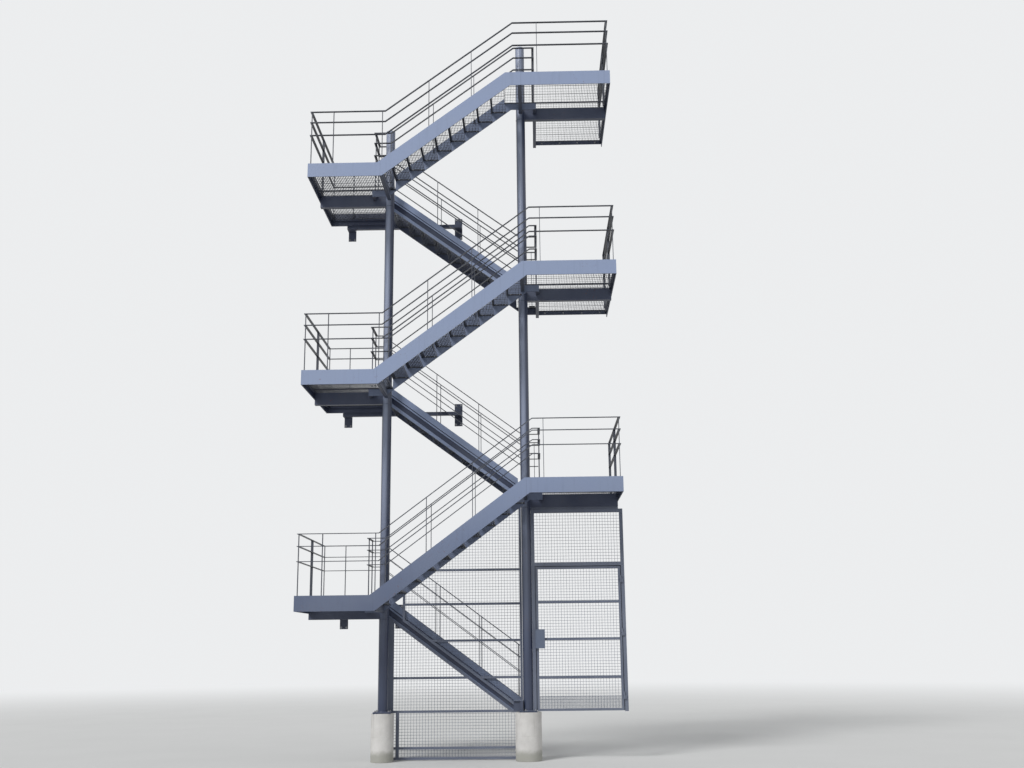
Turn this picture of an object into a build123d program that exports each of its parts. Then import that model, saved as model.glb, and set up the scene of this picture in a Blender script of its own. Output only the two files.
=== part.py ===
from build123d import *
import math
import os

os.makedirs("parts", exist_ok=True)

# Fire escape stair of three storeys, in millimetres.
# x runs along the wall, y towards the wall, z up.
# The origin is the middle of the left plinth's foot on the ground.

# Storeys and steps
riser = 190.0
going = 256.0
flight_risers = 10
top_flight_risers = 9
foot_drop = 75.0
kink_inset = 40.0
first_nosing = 135.0
nosing_lap = 25.0

# Plan
stair_width = 2460.0
well_width = 500.0
half_landing_reach = 1320.0
landing_reach = 1640.0
splice_inset = 25.0
well_end_inset = 240.0
wall_gap = 220.0

# Stringers and fascias
band_depth = 255.0
toe_upstand = 105.0
plate_thickness = 15.0
web_thickness = 8.0
toe_width = 25.0
toe_thickness = 25.0
lower_toe_depth = 55.0
channel_depth = 166.0
well_stringer_rise = 30.0
cover_gap = 18.0
cover_thickness = 12.0

# Landing framing
deck_depth = 30.0
spine_depth = 225.0
spine_width = 90.0
trimmer_width = 60.0
arm_width = 65.0
frame_depth = 120.0
bearer_size = 30.0
trimmer_seat = 20.0
ledger_depth = 65.0
ledger_width = 20.0
fit_gap = 0.3

# Gratings
bar_thickness = 5.0
bar_pitch = 120.0
rod_pitch = 300.0
rod_depth = 8.0
tread_bar_pitch = 62.0
nosing_depth = 40.0
nosing_thickness = 12.0

# Columns and plinths
column_radius = 84.0
plinth_height = 790.0
left_plinth_radius = 195.0
right_plinth_radius = 225.0
base_plate = 300.0
base_plate_thickness = 25.0
newel_height = 1265.0

# Wall supports
wall_beam_depth = 65.0
wall_beam_width = 80.0
wall_beam_left = 930.0
wall_beam_right = 1200.0
lowest_beam_right = 100.0
bracket_width = 150.0
bracket_rise = 40.0
bracket_height = 435.0
bracket_thickness = 20.0

# Foot of the lowest flight
foot_beam_width = 50.0
foot_beam_depth = 80.0
foot_beam_front = 100.0
foot_stub_reach = 115.0
foot_stub_height = 165.0
foot_stub_back = 200.0
foot_stub_inset = 30.0
foot_stub_plate = 10.0

# Guards
rail_width = 45.0
rail_thickness = 10.0
rail_heights = (1010.0, 805.0, 555.0)
flight_rail_drop = 100.0
post_thickness = 10.0
well_post_width = 18.0
post_plate_reach = 60.0
post_plate_thickness = 8.0
post_lap = 95.0
flight_post_lap = 65.0
corner_post_inset = 30.0
half_landing_post = 880.0
landing_post = 320.0
well_post_inset = 72.0
wall_post_inset = 60.0
post_steps = (2, 5)
post_behind_nosing = 190.0

# Gate
jamb_size = 60.0
jamb_inset = 0.5
gate_right = 1700.0
gate_bar = 40.0
gate_gap = 12.0
gate_height = 2430.0
transom_depth = 65.0
header_drop = 40.0
stop_lap = 22.0
stop_thickness = 4.0
wire = 5.0
wire_pitch = 100.0
wire_rows = 200.0
leaf_rail_rises = (564.0, 1200.0, 1828.0)
lock_width = 163.0
lock_height = 320.0
lock_depth = 50.0
lock_rise = 1207.0
lock_over = 6.0
lock_clearance = 6.0
hinge_pin_radius = 8.0
hinge_barrel_radius = 15.0
hinge_barrel = 60.0
hinge_rises = (260.0, 1310.0, 2210.0)
hinge_lug = 12.0
pin_clearance = 0.5

# Screens beside the lowest flight
screen_depth = 40.0
screen_bar = 40.0
screen_left = 50.0
screen_edge = 100.0
screen_post = 200.0
screen_post_width = 55.0
screen_right = 2390.0
screen_foot = 12.0
screen_apex = 300.0
screen_over = 137.0
screen_rise = 100.0
lower_rail_rises = (-590.0, 10.0, 570.0)
upper_rail_rises = (570.0, 1195.0, 1820.0, 2410.0)

# Values that follow from the sizes above
slope = riser / going
pitch = math.atan(slope)
column_spacing = flight_risers * going - 2 * kink_inset
half = stair_width / 2
well = well_width / 2
wall_face = half + wall_gap
inner_face = half - plate_thickness
tail_face = well + plate_thickness
web_face = well + toe_width
web_back = web_face + web_thickness
wall_web_front = half - toe_width - web_thickness
wall_web_face = half - toe_width
left_end = -half_landing_reach
right_end = column_spacing + landing_reach
band_middle = toe_upstand - band_depth / 2
band_bottom = band_depth - toe_upstand
foot_level = plinth_height - foot_drop
flight_rise = flight_risers * riser
half_decks = [foot_level + flight_rise * (2 * level + 1) for level in range(3)]
decks = [foot_level + flight_rise * 2 * (level + 1) for level in range(2)]
decks.append(half_decks[2] + top_flight_risers * riser)
risers = (flight_risers, flight_risers, top_flight_risers)
plate_top = plinth_height + base_plate_thickness
left_guard_x = -well_end_inset - trimmer_seat / 2
right_guard_x = column_spacing + well_end_inset + trimmer_seat / 2
front_rail_y = -inner_face + rail_width / 2
well_rail_y = tail_face + rail_width / 2
rear_well_rail_y = web_back + rail_width / 2
rear_wall_rail_y = wall_web_front - rail_width / 2
gate_top = plinth_height + gate_height
leaf_rails = [plinth_height + rise for rise in leaf_rail_rises]
hinge_levels = [plinth_height + rise for rise in hinge_rises]
lower_rails = [plinth_height + rise for rise in lower_rail_rises]
upper_rails = [plinth_height + rise for rise in upper_rail_rises]

# Levels under and over the whole stair, for cutting zones
underneath = -band_depth
overhead = 2 * decks[2]


def block(x0, x1, y0, y1, z0, z1):
    middle = Pos((x0 + x1) / 2, (y0 + y1) / 2, (z0 + z1) / 2)
    return middle * Box(x1 - x0, y1 - y0, z1 - z0)


def profile(points, y0, y1):
    outline = Plane.XZ * make_face(Polyline(*points, close=True))
    return Pos(0, y0, 0) * extrude(outline, amount=y1 - y0, dir=(0, 1, 0))


def upright(x, y, radius, z0, z1):
    return Pos(x, y, z0) * extrude(Circle(radius), amount=z1 - z0)


def mirrored(points):
    return [(column_spacing - x, z) for x, z in points]


# The middle line of a stringer rises from one landing to the next.
def run_line(low, high, count):
    start = -kink_inset
    end = start + count * going
    low_z = low + band_middle
    high_z = high + band_middle
    return [(left_end, low_z), (start, low_z), (end, high_z), (right_end, high_z)]


# A line moved sideways keeps its kinks on the mitre of the pitch.
def moved(line, distance):
    shift = distance * math.tan(pitch / 2)
    (x0, z0), (x1, z1), (x2, z2), (x3, z3) = line
    return [
        (x0, z0 + distance),
        (x1 - shift, z1 + distance),
        (x2 - shift, z2 + distance),
        (x3, z3 + distance),
    ]


def strip(line, upper, lower):
    return moved(line, upper) + moved(line, lower)[::-1]


# The rear runs are the same line mirrored between the columns.
def rear_strip(line, upper, lower):
    return mirrored(strip(line, upper, lower))


def rear_line(low, high, count):
    (x0, z0), (x1, z1), (x2, z2), (x3, z3) = run_line(low, high, count)
    far = column_spacing - left_end
    near = column_spacing - right_end
    return [(near, z0), (x1, z1), (x2, z2), (far, z3)]


def plate_run(points, y0, y1, x0, x1):
    return profile(points, y0, y1) & block(x0, x1, y0, y1, underneath, overhead)


def channel_run(line, web, toe, rise=0):
    depth = band_depth / 2
    top_toe = channel_depth - depth
    body = profile(rear_strip(line, depth + rise, -depth), *web)
    body += profile(rear_strip(line, top_toe, top_toe - toe_thickness), *toe)
    body += profile(rear_strip(line, lower_toe_depth - depth, -depth), *toe)
    return body


# The well stringer stands higher and has a cover strip over its channel.
def well_channel(line):
    body = channel_run(line, (web_face, web_back), (well, web_face), well_stringer_rise)
    depth = band_depth / 2
    strip_foot = channel_depth - depth + cover_gap
    cover = rear_strip(line, depth + well_stringer_rise, strip_foot)
    return body + profile(cover, web_face - cover_thickness, web_face)


def joined(pieces):
    return pieces[0] + pieces[1:]


# Bar grating: edge bands, bars along y and shallow rods along x.
def grating(x0, x1, y0, y1, top):
    z0 = top - deck_depth
    bars = []
    columns = max(2, round((x1 - x0) / bar_pitch))
    for index in range(columns + 1):
        x = x0 + index * (x1 - x0 - bar_thickness) / columns
        bars.append(block(x, x + bar_thickness, y0, y1, z0, top))
    for y in (y0, y1 - bar_thickness):
        bars.append(block(x0, x1, y, y + bar_thickness, z0, top))
    rows = max(2, round((y1 - y0) / rod_pitch))
    for index in range(1, rows):
        y = y0 + index * (y1 - y0 - bar_thickness) / rows
        bars.append(block(x0, x1, y, y + bar_thickness, top - rod_depth, top))
    return joined(bars)


def tread(y0, y1):
    depth = going + nosing_lap
    bars = [block(0, nosing_thickness, y0, y1, -nosing_depth, 0)]
    for y in (y0, y1 - bar_thickness):
        bars.append(block(0, depth, y, y + bar_thickness, -deck_depth, 0))
    count = round(depth / tread_bar_pitch)
    for index in range(1, count + 1):
        x = index * depth / count - bar_thickness
        bars.append(block(x, x + bar_thickness, y0, y1, -deck_depth, 0))
    rods = round((y1 - y0) / rod_pitch)
    for index in range(1, rods):
        y = y0 + index * (y1 - y0) / rods
        bars.append(block(0, depth, y, y + bar_thickness, -rod_depth, 0))
    return joined(bars)


def front_treads(low, count):
    one = tread(-inner_face, -tail_face)
    steps = [(first_nosing + step * going, low + (step + 1) * riser) for step in range(count - 1)]
    return [Pos(x, 0, z) * one for x, z in steps]


def rear_treads(low):
    one = mirror(tread(web_back, wall_web_front), about=Plane.YZ)
    start = column_spacing - first_nosing
    steps = [(start - step * going, low + (step + 1) * riser) for step in range(flight_risers - 1)]
    return [Pos(x, 0, z) * one for x, z in steps]


# One straight length of guard along x: flat rails on edge-on posts, cut upright at both ends
def guard_along_x(x0, x1, y, z0, z1, posts):
    rise = (z1 - z0) / (x1 - x0)
    lift = rail_thickness / 2 / math.cos(math.atan(rise))
    near = y - rail_width / 2
    far = y + rail_width / 2
    pieces = []
    for height in rail_heights:
        low = z0 + height
        high = z1 + height
        edge = [(x0, low - lift), (x1, high - lift), (x1, high + lift), (x0, low + lift)]
        pieces.append(profile(edge, near, far))
    side = post_thickness / 2
    for x, foot in posts:
        head = z0 + rail_heights[0] + (x - x0) * rise
        pieces.append(block(x - side, x + side, near, far, foot, head))
    return joined(pieces)


def guard_along_y(x, y0, y1, z, posts, post_width):
    lift = rail_thickness / 2
    side = rail_width / 2
    pieces = []
    for height in rail_heights:
        level = z + height
        pieces.append(block(x - side, x + side, y0, y1, level - lift, level + lift))
    reach = post_width / 2
    edge = post_thickness / 2
    for y, foot in posts:
        pieces.append(block(x - reach, x + reach, y - edge, y + edge, foot, z + rail_heights[0]))
    return joined(pieces)


# Plate under a post that stands on a deck
def post_plate(x, y, top):
    side = rail_width / 2
    reach = post_plate_reach
    return block(x - reach, x + reach, y - side, y + side, top, top + post_plate_thickness)


# Where the rails of a flight bend, and how high its top edge is there
def rail_bends(line):
    top = moved(line, band_depth / 2)
    shift = flight_rail_drop / slope
    return (top[1][0] + shift, top[1][1]), (top[2][0] + shift, top[2][1])


# The stringer's top edge at x on the sloping length
def edge_at(line, x):
    top = moved(line, band_depth / 2)
    return top[1][1] + (x - top[1][0]) * slope


def flight_posts(line, places):
    low = [x - post_thickness / 2 for x in places]
    return [(x, edge_at(line, start) - flight_post_lap) for x, start in zip(places, low)]


def mirror_guard(solid):
    return Pos(column_spacing, 0, 0) * mirror(solid, about=Plane.YZ)


nodes = {}
places = tuple(first_nosing + step * going + post_behind_nosing for step in post_steps)

# Plinths, base plates and columns
nodes["left_plinth"] = [upright(0, 0, left_plinth_radius, 0, plinth_height)]
nodes["right_plinth"] = [upright(column_spacing, 0, right_plinth_radius, 0, plinth_height)]
nodes["column_base_plates"] = [
    Pos(x, 0, plinth_height + base_plate_thickness / 2)
    * Box(base_plate, base_plate, base_plate_thickness)
    for x in (0, column_spacing)
]
left_top = half_decks[2] + newel_height
right_top = decks[2] + newel_height
nodes["left_column"] = [upright(0, 0, column_radius, plate_top, left_top)]
nodes["right_column"] = [upright(column_spacing, 0, column_radius, plate_top, right_top)]

# Flights
well_cut = 2 * band_depth
for level in range(3):
    count = risers[level]
    low = half_decks[level]
    high = decks[level]
    line = run_line(low, high, count)
    edges = strip(line, band_depth / 2, -band_depth / 2)
    left_splice = -splice_inset
    right_splice = column_spacing + splice_inset
    outer = plate_run(edges, -half, -inner_face, left_splice, right_splice)
    last_nosing = first_nosing + (count - 1) * going
    left_tail = -well_end_inset
    right_tail = column_spacing + well_end_inset
    inner = plate_run(edges, -tail_face, -well, left_tail, right_tail)
    low_seat = low - deck_depth
    high_seat = high - deck_depth
    inner -= block(left_tail - 1, first_nosing, -tail_face, -well, low_seat, low + well_cut)
    inner -= block(last_nosing, right_tail + 1, -tail_face, -well, high_seat, high + well_cut)
    nodes[f"front_flight_{level + 1}_stringers"] = [outer, inner]
    nodes[f"front_flight_{level + 1}_treads"] = front_treads(low, count)

well_stringers = []
feet = [foot_level] + decks[:2]
foot_x = column_spacing - first_nosing
for level in range(3):
    low = feet[level]
    high = half_decks[level]
    line = rear_line(low, high, flight_risers)
    well_side = well_channel(line)
    wall_side = channel_run(line, (wall_web_front, wall_web_face), (wall_web_face, half))
    right_tail = column_spacing + well_end_inset
    left_tail = -well_end_inset
    landing_nosing = foot_x - (flight_risers - 1) * going
    if level == 0:
        zone = block(left_tail, foot_x, well, half, plinth_height, overhead)
        wall_zone = block(-splice_inset, foot_x, well, half, plinth_height, overhead)
    else:
        zone = block(left_tail, right_tail, well, half, 0, overhead)
        zone -= block(foot_x, right_tail, well, half, low - deck_depth, low + well_cut)
        wall_zone = block(-splice_inset, right_tail, well, half, 0, overhead)
        wall_zone -= block(foot_x, right_tail, well, half, low - deck_depth, low + well_cut)
    zone -= block(left_tail, landing_nosing, well, half, high - deck_depth, high + well_cut)
    well_side = well_side & zone
    wall_side = wall_side & wall_zone
    well_stringers.append(well_side)
    nodes[f"rear_flight_{level + 1}_stringers"] = [well_side, wall_side]
    nodes[f"rear_flight_{level + 1}_treads"] = rear_treads(low)

# Half landings: front fascia, end plate, rear fascia, trimmers and bearers
last_nosing_rear = foot_x - (flight_risers - 1) * going
half_deck_solids = []
for level in range(3):
    top = half_decks[level]
    line = run_line(top, decks[level], risers[level])
    edges = strip(line, band_depth / 2, -band_depth / 2)
    front = plate_run(edges, -half, -inner_face, left_end, -splice_inset)
    seat = top - deck_depth
    lip = bearer_size
    lip_end = -arm_width / 2
    front += block(left_end, lip_end, -inner_face, -inner_face + lip, seat - lip, seat)
    back_line = rear_line(feet[level], top, flight_risers)
    back = channel_run(back_line, (wall_web_front, wall_web_face), (wall_web_face, half))
    back = back & block(left_end, -splice_inset, 0, half, 0, overhead)
    back += block(left_end, lip_end, wall_web_front - lip, wall_web_front, seat - lip, seat)
    end_y0 = -inner_face + fit_gap
    end_y1 = wall_web_front - fit_gap
    end_x = left_end + plate_thickness
    end = block(left_end, end_x, end_y0, end_y1, top - band_bottom, top + toe_upstand)
    clear = lip + fit_gap
    end += block(end_x, end_x + lip, end_y0 + clear, -spine_width / 2 - fit_gap, seat - lip, seat)
    end += block(end_x, end_x + lip, spine_width / 2 + fit_gap, end_y1 - clear, seat - lip, seat)
    front -= block(left_end, end_x + fit_gap, -inner_face, 0, 0, overhead)
    back -= block(left_end, end_x + fit_gap, 0, wall_web_front, 0, overhead)
    solids = [front, end, back]
    trim_x = -well_end_inset
    trim = (trim_x - trimmer_width, trim_x)
    for y0, y1 in ((-tail_face, -spine_width / 2), (spine_width / 2, web_back)):
        solids.append(block(*trim, y0, y1, seat - frame_depth, seat))
    nodes[f"half_landing_{level + 1}_frame"] = solids
    x_well = trim_x - trimmer_seat
    half_deck_solids.append(grating(end_x, first_nosing, -inner_face, -well, top))
    half_deck_solids.append(grating(end_x, x_well, -well + fit_gap, well - fit_gap, top))
    half_deck_solids.append(grating(end_x, last_nosing_rear, well, wall_web_front, top))

# Landings: front fascia, end plate to the wall, trimmers to the wall and ledger
deck_solids = []
for level in range(3):
    top = decks[level]
    seat = top - deck_depth
    lip = bearer_size
    line = run_line(half_decks[level], top, risers[level])
    edges = strip(line, band_depth / 2, -band_depth / 2)
    start = column_spacing + splice_inset
    front = plate_run(edges, -half, -inner_face, start, right_end)
    lip_start = column_spacing + arm_width / 2
    front += block(lip_start, right_end, -inner_face, -inner_face + lip, seat - lip, seat)
    end_x = right_end - plate_thickness
    front -= block(end_x - fit_gap, right_end, -inner_face, 0, 0, overhead)
    end_y0 = -inner_face + fit_gap
    clear = lip + fit_gap
    end = block(end_x, right_end, end_y0, wall_face, top - band_bottom, top + toe_upstand)
    end += block(end_x - lip, end_x, end_y0 + clear, -spine_width / 2 - fit_gap, seat - lip, seat)
    ledger_y = wall_face - ledger_width
    end += block(end_x - lip, end_x, spine_width / 2 + fit_gap, ledger_y - fit_gap, seat - lip, seat)
    trim_x = column_spacing + well_end_inset
    trim = (trim_x, trim_x + trimmer_width)
    solids = [front, end]
    solids.append(block(*trim, -tail_face, -spine_width / 2, seat - frame_depth, seat))
    solids.append(block(*trim, spine_width / 2, wall_face, seat - frame_depth, seat))
    ledger_x = trim_x + trimmer_width + fit_gap
    solids.append(block(ledger_x, end_x - fit_gap, ledger_y, wall_face, seat - ledger_depth, seat))
    nodes[f"landing_{level + 1}_frame"] = solids
    nosing = first_nosing + (risers[level] - 1) * going
    x_well = trim_x + trimmer_seat
    deck_solids.append(grating(nosing, end_x, -inner_face, -well, top))
    deck_solids.append(grating(x_well, end_x, -well + fit_gap, well - fit_gap, top))
    deck_solids.append(grating(x_well, end_x, well, wall_face, top))
    if level < 2:
        deck_solids.append(grating(foot_x, trim_x, web_face, wall_web_face, top))
nodes["half_landing_decks"] = half_deck_solids
nodes["landing_decks"] = deck_solids

# Spine beams out from the columns and cross arms across them
left_hole = upright(0, 0, column_radius + fit_gap, 0, overhead)
right_hole = upright(column_spacing, 0, column_radius + fit_gap, 0, overhead)
spines = []
arms = []
for top in half_decks:
    seat = top - deck_depth
    stop = left_end + plate_thickness
    beam = block(stop, 0, -spine_width / 2, spine_width / 2, seat - spine_depth, seat)
    spines.append(beam - left_hole)
for top in decks:
    seat = top - deck_depth
    stop = right_end - plate_thickness
    beam = block(column_spacing, stop, -spine_width / 2, spine_width / 2, seat - spine_depth, seat)
    spines.append(beam - right_hole)


# The rear arms are cut around the well stringer that they meet.
def cross_arm(x, hole, top, rear_stringer):
    side = arm_width / 2
    zone = (top - deck_depth - frame_depth, top - deck_depth)
    pieces = [block(x - side, x + side, -inner_face, -tail_face, *zone)]
    pieces.append(block(x - side, x + side, -well, 0, *zone) - hole)
    if rear_stringer:
        pieces.append(block(x - side, x + side, 0, web_face, *zone) - hole - rear_stringer)
        pieces.append(block(x - side, x + side, web_back, wall_web_front, *zone))
    return pieces


for level, top in enumerate(half_decks):
    arms += cross_arm(0, left_hole, top, well_stringers[level])
for level, top in enumerate(decks):
    stringer = well_stringers[level + 1] if level < 2 else None
    arms += cross_arm(column_spacing, right_hole, top, stringer)
nodes["spine_beams"] = spines
nodes["cross_arms"] = arms

# Wall beams under the half landings, and their wall brackets
beams = []
brackets = []
for level, top in enumerate(half_decks):
    z1 = top - band_bottom
    z0 = z1 - wall_beam_depth
    side = bracket_width / 2
    beam_right = wall_beam_right if level else lowest_beam_right
    reach = (-wall_beam_left - side, beam_right + side)
    beams.append(block(*reach, half, half + wall_beam_width, z0, z1))
    for x in (-wall_beam_left, beam_right):
        plate_y = wall_face - bracket_thickness
        bracket = block(x - side, x + side, half + wall_beam_width, plate_y, z0, z1)
        plate_z1 = top + bracket_rise
        bracket += block(x - side, x + side, plate_y, wall_face, plate_z1 - bracket_height, plate_z1)
        brackets.append(bracket)
nodes["wall_beams"] = beams
nodes["wall_brackets"] = brackets

# Beam on the right base plate that carries the foot of the lowest flight, with a flanged stub
foot_top = plate_top + foot_beam_depth
foot_end = foot_x + foot_beam_width
foot_beam = block(foot_x, foot_end, -foot_beam_front, half, plate_top, foot_top)
stub_top = plate_top + foot_stub_height
stub_y = (-foot_beam_front, foot_stub_back)
stub_left = foot_x - foot_stub_reach
web_y = foot_stub_inset - foot_beam_front
foot_beam += block(foot_x, foot_end, *stub_y, plate_top, stub_top)
foot_beam += block(stub_left, foot_end, *stub_y, stub_top - foot_stub_plate, stub_top)
foot_beam += block(stub_left, foot_end, web_y, web_y + foot_stub_plate, plate_top, stub_top)
nodes["foot_beam"] = [foot_beam]

# Guards along the front
outer_guards = []
well_guards = []
for level in range(3):
    line = run_line(half_decks[level], decks[level], risers[level])
    (x_low, z_low), (x_high, z_high) = rail_bends(line)
    corner = left_end + plate_thickness + corner_post_inset
    foot = z_low - post_lap
    posts = [(corner, foot), (-half_landing_post, foot), (0, foot)]
    x0 = left_end + plate_thickness
    outer_guards.append(guard_along_x(x0, x_low - fit_gap, front_rail_y, z_low, z_low, posts))
    posts = flight_posts(line, places)
    outer_guards.append(guard_along_x(x_low, x_high, front_rail_y, z_low, z_high, posts))
    x1 = right_end - plate_thickness
    foot = z_high - post_lap
    corner = x1 - corner_post_inset
    posts = [(column_spacing + landing_post, foot), (corner, foot)]
    outer_guards.append(guard_along_x(x_high + fit_gap, x1, front_rail_y, z_high, z_high, posts))
    posts = flight_posts(line, places)
    well_guards.append(guard_along_x(x_low, x_high, -well_rail_y, z_low, z_high, posts))
nodes["front_outer_guards"] = outer_guards
nodes["front_well_guards"] = well_guards

# Guards of the rear flights, drawn as a front flight and mirrored
rear_well = []
rear_wall = []
for level in range(3):
    line = rear_line(feet[level], half_decks[level], flight_risers)
    (x_low, z_low), (x_high, z_high) = rail_bends(line)
    foot_post = () if level else (first_nosing + corner_post_inset,)
    posts = flight_posts(line, foot_post + places)
    x_start = x_low if level else first_nosing
    z_start = z_low if level else z_low + (first_nosing - x_low) * slope
    well_panel = guard_along_x(x_start, x_high, rear_well_rail_y, z_start, z_high, posts)
    wall_panel = guard_along_x(x_start, x_high, rear_wall_rail_y, z_start, z_high, posts)
    rear_well.append(mirror_guard(well_panel))
    rear_wall.append(mirror_guard(wall_panel))
    foot = z_high - post_lap
    stop = column_spacing - left_end - plate_thickness
    rear_posts = [(stop - corner_post_inset, foot), (column_spacing + half_landing_post, foot)]
    panel = guard_along_x(x_high + fit_gap, stop, rear_wall_rail_y, z_high, z_high, rear_posts)
    rear_wall.append(mirror_guard(panel))
    if level:
        foot = z_low - toe_upstand
        x_end = -well_end_inset
        x_post = x_end + well_post_inset
        posts = [(x_post, foot)]
        panel = guard_along_x(x_end, x_low - fit_gap, rear_wall_rail_y, z_low, z_low, posts)
        panel += post_plate(x_post, rear_wall_rail_y, foot)
        rear_wall.append(mirror_guard(panel))
nodes["rear_well_guards"] = rear_well
nodes["rear_wall_guards"] = rear_wall

# Guards across the well ends and the landing ends
well_ends = []
ends = []
rail_step = rail_width / 2 + fit_gap
for level in range(3):
    top = half_decks[level]
    edge = top + toe_upstand
    line = run_line(top, decks[level], risers[level])
    x_bend = rail_bends(line)[0][0]
    x_guard = left_guard_x
    x_turn = x_guard - rail_width / 2
    x_stop = x_bend - fit_gap
    x_post = x_stop - post_thickness / 2
    panel = guard_along_x(x_turn, x_stop, -well_rail_y, edge, edge, [(x_post, top)])
    well_ends.append(panel + post_plate(x_post, -well_rail_y, top))
    y0 = -well_rail_y + rail_step
    y1 = rear_well_rail_y - rail_step
    seat = top - deck_depth
    posts = [(y0 + well_post_inset, seat), (y1 - well_post_inset, seat)]
    well_ends.append(guard_along_y(x_guard, y0, y1, edge, posts, well_post_width))
    back_line = rear_line(feet[level], top, flight_risers)
    x_back = column_spacing - rail_bends(back_line)[1][0]
    well_ends.append(guard_along_x(x_turn, x_back - fit_gap, rear_well_rail_y, edge, edge, []))
    x_guard = left_end + plate_thickness + rail_width / 2
    y0 = front_rail_y + rail_step
    y1 = rear_wall_rail_y - rail_step
    foot = edge - post_lap
    ends.append(guard_along_y(x_guard, y0, y1, edge, [(0, foot)], rail_width))
for level in range(3):
    top = decks[level]
    edge = top + toe_upstand
    line = run_line(half_decks[level], top, risers[level])
    x_bend = rail_bends(line)[1][0]
    x_guard = right_guard_x
    x_turn = x_guard + rail_width / 2
    well_ends.append(guard_along_x(x_bend + fit_gap, x_turn, -well_rail_y, edge, edge, []))
    y0 = -well_rail_y + rail_step
    seat = top - deck_depth
    if level < 2:
        y1 = rear_well_rail_y - rail_step
        back_line = rear_line(top, half_decks[level + 1], flight_risers)
        x_back = column_spacing - rail_bends(back_line)[0][0]
        well_ends.append(guard_along_x(x_back + fit_gap, x_turn, rear_well_rail_y, edge, edge, []))
        posts = [(y0 + well_post_inset, seat), (y1 - well_post_inset, seat)]
    else:
        y1 = wall_face
        span = (y1 - y0 - 2 * well_post_inset) / 3
        posts = [(y0 + well_post_inset + step * span, seat) for step in range(4)]
    well_ends.append(guard_along_y(x_guard, y0, y1, edge, posts, well_post_width))
    x_guard = right_end - plate_thickness - rail_width / 2
    foot = edge - post_lap
    posts = [(0, foot), (wall_face - wall_post_inset, foot)]
    y0 = front_rail_y + rail_step
    ends.append(guard_along_y(x_guard, y0, wall_face, edge, posts, rail_width))
nodes["well_end_guards"] = well_ends
nodes["landing_end_guards"] = ends

# Gate surround between the right column and the end of the landing
side = jamb_size / 2
jamb_x = column_spacing + column_radius + jamb_inset
opening_x0 = jamb_x + jamb_size
surround_end = column_spacing + gate_right
opening_x1 = surround_end - jamb_size
spine_foot = decks[0] - deck_depth - spine_depth
header_top = spine_foot - header_drop
header_foot = header_top - jamb_size
transom_foot = gate_top + gate_gap
transom_top = transom_foot + transom_depth
leaf_z0 = plinth_height + gate_gap
stop_y = (side - stop_thickness, side)
left_jamb = block(jamb_x, opening_x0, -side, side, plate_top, header_foot)
left_jamb += block(opening_x0, opening_x0 + stop_lap, *stop_y, plate_top, transom_foot)
nodes["gate_left_jamb"] = [left_jamb]
right_jamb = block(opening_x1, surround_end, -side, side, plinth_height, header_foot)
right_jamb += block(opening_x1 - stop_lap, opening_x1, *stop_y, leaf_z0, transom_foot)
nodes["gate_right_jamb"] = [right_jamb]


# Upright wires and cross wires between the bars of a panel
def mesh(x0, x1, y, z0, z1):
    wires = []
    count = round((x1 - x0) / wire_pitch)
    rows = round((z1 - z0) / wire_rows)
    near = y - wire / 2
    far = y + wire / 2
    for index in range(1, count):
        x = x0 + index * (x1 - x0) / count
        wires.append(block(x - wire / 2, x + wire / 2, near, far, z0, z1))
    for index in range(1, rows):
        z = z0 + index * (z1 - z0) / rows
        wires.append(block(x0, x1, near, far, z - wire / 2, z + wire / 2))
    return wires


panel = [block(jamb_x, surround_end, -side, side, header_foot, header_top)]
panel.append(block(opening_x0, opening_x1, -side, side, transom_foot, transom_top))
panel += mesh(opening_x0, opening_x1, 0, transom_top, header_foot)
stop_x = (opening_x0 + stop_lap, opening_x1 - stop_lap)
panel.append(block(*stop_x, *stop_y, transom_foot - stop_lap, transom_foot))
face = gate_bar / 2
closer_end = right_end - plate_thickness
panel.append(block(jamb_x, closer_end, -face, face, header_top, spine_foot))
nodes["gate_over_panel"] = [joined(panel)]

# Gate leaf
leaf_x0 = opening_x0 + gate_gap
leaf_x1 = opening_x1 - gate_gap
leaf = block(leaf_x0, leaf_x1, -face, face, leaf_z0, gate_top)
hollow = (leaf_x0 + gate_bar, leaf_x1 - gate_bar)
leaf -= block(*hollow, -face, face, leaf_z0 + gate_bar, gate_top - gate_bar)
rails = [block(*hollow, -face, face, z - face, z + face) for z in leaf_rails]
wires = mesh(*hollow, 0, leaf_z0 + gate_bar, gate_top - gate_bar)
nodes["gate_leaf"] = [joined([leaf] + rails + wires)]
lock_x0 = opening_x0 - lock_over
lock_x1 = lock_x0 + lock_width
lock_front = -face - lock_depth
lock_z = (plinth_height + lock_rise - lock_height / 2, plinth_height + lock_rise + lock_height / 2)
lock = block(leaf_x0, lock_x1, lock_front, -face, *lock_z)
lock += block(lock_x0, leaf_x0, lock_front, -side - lock_clearance, *lock_z)
nodes["gate_lock_box"] = [lock]

# Gate hinges: a pin and lug on the jamb, a barrel and lug on the leaf
hinge_x = opening_x1 - gate_gap / 2
hinge_y = -side - hinge_barrel_radius - pin_clearance
pins = []
barrels = []
lug = hinge_lug / 2
for z in hinge_levels:
    pin = upright(hinge_x, hinge_y, hinge_pin_radius, z - hinge_barrel, z + hinge_barrel)
    pin += upright(hinge_x, hinge_y, hinge_barrel_radius, z - hinge_barrel, z)
    pin += block(hinge_x, opening_x1 + jamb_size / 2, hinge_y - lug, -side, z - hinge_barrel, z)
    pins.append(pin)
    z0 = z + pin_clearance
    z1 = z + hinge_barrel
    barrel = upright(hinge_x, hinge_y, hinge_barrel_radius, z0, z1)
    barrel += block(leaf_x1 - gate_bar / 2, hinge_x, hinge_y - lug, -face, z0, z1)
    barrel -= upright(hinge_x, hinge_y, hinge_pin_radius + pin_clearance, z0, z1)
    barrels.append(barrel)
nodes["gate_hinge_pins"] = pins
nodes["gate_hinge_barrels"] = barrels

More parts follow.
